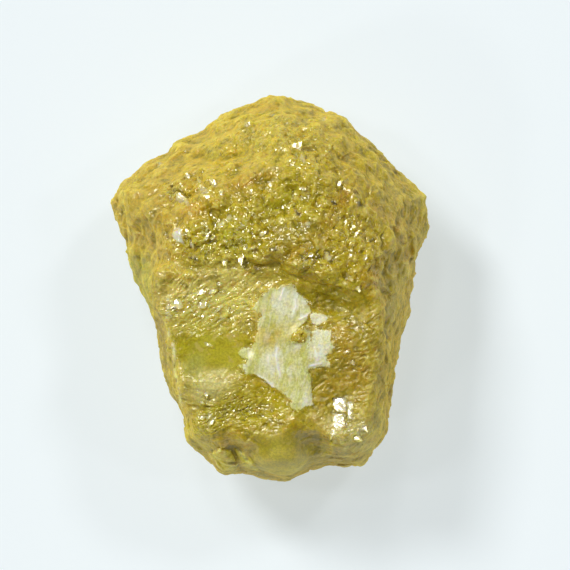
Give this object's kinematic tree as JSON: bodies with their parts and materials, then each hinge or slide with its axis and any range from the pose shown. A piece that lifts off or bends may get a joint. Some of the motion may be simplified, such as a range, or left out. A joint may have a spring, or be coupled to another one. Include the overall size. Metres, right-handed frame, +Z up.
{
  "type": "rough diamond",
  "caption": "Natural rough yellow diamond: an etched, pitted crown over a broken block with a pale jagged cleavage flake; it lies loose on a flat face.",
  "frame": {"origin": "under the middle of the stone's plan, on the flat face that it rests on", "axes": "+Z up, away from the rest face, towards the viewer of the picture; +Y towards the blunt point of the etched crown, with the broken block at -Y; +X to the right"},
  "size_m": [0.0066, 0.008, 0.0053],
  "materials": {
    "yellow_diamond": "satin"
  },
  "bodies": {
    "root": {"rough_diamond": "yellow_diamond"}
  },
  "joints": []
}
